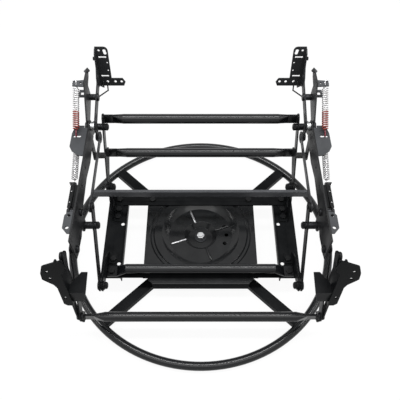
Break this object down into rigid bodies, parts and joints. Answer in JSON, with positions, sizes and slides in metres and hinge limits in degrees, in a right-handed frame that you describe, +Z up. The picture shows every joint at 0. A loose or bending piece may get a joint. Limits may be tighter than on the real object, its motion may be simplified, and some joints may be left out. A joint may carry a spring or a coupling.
{
  "type": "recliner mechanism",
  "caption": "Steel swivel recliner mechanism on a floor ring, with lifting seat plates, reclining back brackets, tension springs and a folding footrest linkage.",
  "frame": {"origin": "on the floor under the swivel axis", "axes": "+X to the right as seen from the front, +Y to the rear, +Z up; the footrest is at -Y"},
  "size_m": [0.6599, 0.66, 0.3693],
  "materials": {
    "black_coat": "semi-gloss black powder coat",
    "grey_coat": "dark grey coat",
    "zinc_steel": "zinc plated",
    "spring_steel": "bright wire, with a red painted stretch on the back springs",
    "rubber": "matt black"
  },
  "bodies": {
    "base": {"floor_ring": "black_coat", "base_arms": "black_coat", "lower_race": "black_coat", "bearing_balls": "zinc_steel", "ball_cage": "zinc_steel", "pivot_bolt": "zinc_steel", "pivot_nut": "zinc_steel", "pivot_washer": "zinc_steel"},
    "swivel_frame": {"swivel_dish": "black_coat", "side_rail_left": "black_coat", "side_rail_right": "black_coat", "front_strip": "black_coat", "rear_strip": "black_coat", "front_tube": "black_coat", "rear_bar": "black_coat", "rear_upright_left": "black_coat", "rear_upright_right": "black_coat", "front_lug_left": "black_coat", "front_lug_right": "black_coat", "frame_pins": "black_coat", "frame_bolts": "black_coat"},
    "rear_lift": {"rear_lift_left": "black_coat", "rear_lift_right": "black_coat", "upper_tube": "black_coat", "lower_tube": "black_coat"},
    "front_lift_left": {"front_lift_left": "black_coat"},
    "seat_left": {"seat_plate_left": "grey_coat", "stop_bumper_left": "rubber", "seat_pins_left": "zinc_steel", "back_spring_left": "spring_steel", "footrest_spring_left": "spring_steel"},
    "back_left": {"back_bracket_left": "black_coat", "back_lever_left": "grey_coat", "back_pins_left": "zinc_steel", "latch_wire_left": "black_coat"},
    "rod_left": {"recline_rod_left": "grey_coat"},
    "front_lift_right": {"front_lift_right": "black_coat"},
    "seat_right": {"seat_plate_right": "grey_coat", "stop_bumper_right": "rubber", "seat_pins_right": "zinc_steel", "back_spring_right": "spring_steel", "footrest_spring_right": "spring_steel"},
    "back_right": {"back_bracket_right": "black_coat", "back_lever_right": "grey_coat", "back_pins_right": "zinc_steel", "latch_wire_right": "black_coat"},
    "rod_right": {"recline_rod_right": "grey_coat"},
    "footrest_drive": {"drive_link_left": "black_coat", "drive_link_right": "black_coat", "footrest_tube": "black_coat", "drive_pins": "zinc_steel"},
    "lower_link_left": {"lower_link_left": "black_coat"},
    "upper_link_left": {"upper_link_left": "black_coat"},
    "front_link_left": {"front_link_left": "black_coat"},
    "footrest_bracket_left": {"footrest_bracket_left": "black_coat"},
    "lower_link_right": {"lower_link_right": "black_coat"},
    "upper_link_right": {"upper_link_right": "black_coat"},
    "front_link_right": {"front_link_right": "black_coat"},
    "footrest_bracket_right": {"footrest_bracket_right": "black_coat"}
  },
  "joints": [
    {"name": "swivel", "type": "hinge", "parent": "base", "child": "swivel_frame", "pos_m": [0, 0, 0.0447], "axis": [0, 0, 1], "continuous": true},
    {"name": "recline", "type": "hinge", "parent": "swivel_frame", "child": "rear_lift", "pos_m": [0, 0.085, 0.122], "axis": [1, 0, 0], "range_deg": [0, 24]},
    {"name": "seat_pivot_left", "type": "hinge", "parent": "rear_lift", "child": "seat_left", "pos_m": [-0.232, 0.16792, 0.23912], "axis": [1, 0, 0], "range_deg": [-24, 0]},
    {"name": "front_lift_pivot_left", "type": "hinge", "parent": "swivel_frame", "child": "front_lift_left", "pos_m": [-0.222, -0.16, 0.082], "axis": [1, 0, 0], "range_deg": [0, 24]},
    {"name": "rod_pivot_left", "type": "hinge", "parent": "front_lift_left", "child": "rod_left", "pos_m": [-0.228, -0.05396, 0.23176], "axis": [1, 0, 0], "range_deg": [-24, 0]},
    {"name": "back_hinge_left", "type": "hinge", "parent": "seat_left", "child": "back_left", "pos_m": [-0.242, 0.142, 0.267], "axis": [1, 0, 0], "range_deg": [-32, 0], "deforming": ["back_spring_left"]},
    {"name": "seat_pivot_right", "type": "hinge", "parent": "rear_lift", "child": "seat_right", "pos_m": [0.232, 0.16792, 0.23912], "axis": [1, 0, 0], "range_deg": [-24, 0]},
    {"name": "front_lift_pivot_right", "type": "hinge", "parent": "swivel_frame", "child": "front_lift_right", "pos_m": [0.222, -0.16, 0.082], "axis": [1, 0, 0], "range_deg": [0, 24]},
    {"name": "rod_pivot_right", "type": "hinge", "parent": "front_lift_right", "child": "rod_right", "pos_m": [0.228, -0.05396, 0.23176], "axis": [1, 0, 0], "range_deg": [-24, 0]},
    {"name": "back_hinge_right", "type": "hinge", "parent": "seat_right", "child": "back_right", "pos_m": [0.242, 0.142, 0.267], "axis": [1, 0, 0], "range_deg": [-32, 0], "deforming": ["back_spring_right"]},
    {"name": "footrest", "type": "hinge", "parent": "seat_left", "child": "footrest_drive", "pos_m": [0, -0.15, 0.224], "axis": [-1, 0, 0], "range_deg": [0, 74]},
    {"name": "lower_link_pivot_left", "type": "hinge", "parent": "footrest_drive", "child": "lower_link_left", "pos_m": [-0.259, -0.20361, 0.13372], "axis": [-1, 0, 0], "range_deg": [-129.5, 0]},
    {"name": "upper_link_pivot_left", "type": "hinge", "parent": "footrest_drive", "child": "upper_link_left", "pos_m": [-0.259, -0.23312, 0.08402], "axis": [-1, 0, 0], "range_deg": [-129.5, 0]},
    {"name": "front_link_pivot_left", "type": "hinge", "parent": "seat_left", "child": "front_link_left", "pos_m": [-0.259, -0.074, 0.242], "axis": [-1, 0, 0], "range_deg": [0, 56.42], "deforming": ["footrest_spring_left"]},
    {"name": "bracket_pivot_left", "type": "hinge", "parent": "lower_link_left", "child": "footrest_bracket_left", "pos_m": [-0.259, -0.18607, 0.25849], "axis": [-1, 0, 0], "range_deg": [0, 129.5]},
    {"name": "lower_link_pivot_right", "type": "hinge", "parent": "footrest_drive", "child": "lower_link_right", "pos_m": [0.259, -0.20361, 0.13372], "axis": [-1, 0, 0], "range_deg": [-129.5, 0]},
    {"name": "upper_link_pivot_right", "type": "hinge", "parent": "footrest_drive", "child": "upper_link_right", "pos_m": [0.259, -0.23312, 0.08402], "axis": [-1, 0, 0], "range_deg": [-129.5, 0]},
    {"name": "front_link_pivot_right", "type": "hinge", "parent": "seat_right", "child": "front_link_right", "pos_m": [0.259, -0.074, 0.242], "axis": [-1, 0, 0], "range_deg": [0, 56.42], "deforming": ["footrest_spring_right"]},
    {"name": "bracket_pivot_right", "type": "hinge", "parent": "lower_link_right", "child": "footrest_bracket_right", "pos_m": [0.259, -0.18607, 0.25849], "axis": [-1, 0, 0], "range_deg": [0, 129.5]}
  ],
  "couplings": [
    {"joint": "seat_pivot_left", "follows": "recline", "ratio": -1},
    {"joint": "front_lift_pivot_left", "follows": "recline", "ratio": 1},
    {"joint": "rod_pivot_left", "follows": "recline", "ratio": -1},
    {"joint": "back_hinge_left", "follows": "recline", "ratio": -1.3333},
    {"joint": "seat_pivot_right", "follows": "recline", "ratio": -1},
    {"joint": "front_lift_pivot_right", "follows": "recline", "ratio": 1},
    {"joint": "rod_pivot_right", "follows": "recline", "ratio": -1},
    {"joint": "back_hinge_right", "follows": "recline", "ratio": -1.3333},
    {"joint": "lower_link_pivot_left", "follows": "footrest", "ratio": -1.75},
    {"joint": "upper_link_pivot_left", "follows": "footrest", "ratio": -1.75},
    {"joint": "front_link_pivot_left", "follows": "footrest", "ratio": 0.7624},
    {"joint": "bracket_pivot_left", "follows": "footrest", "ratio": 1.75},
    {"joint": "lower_link_pivot_right", "follows": "footrest", "ratio": -1.75},
    {"joint": "upper_link_pivot_right", "follows": "footrest", "ratio": -1.75},
    {"joint": "front_link_pivot_right", "follows": "footrest", "ratio": 0.7624},
    {"joint": "bracket_pivot_right", "follows": "footrest", "ratio": 1.75}
  ]
}
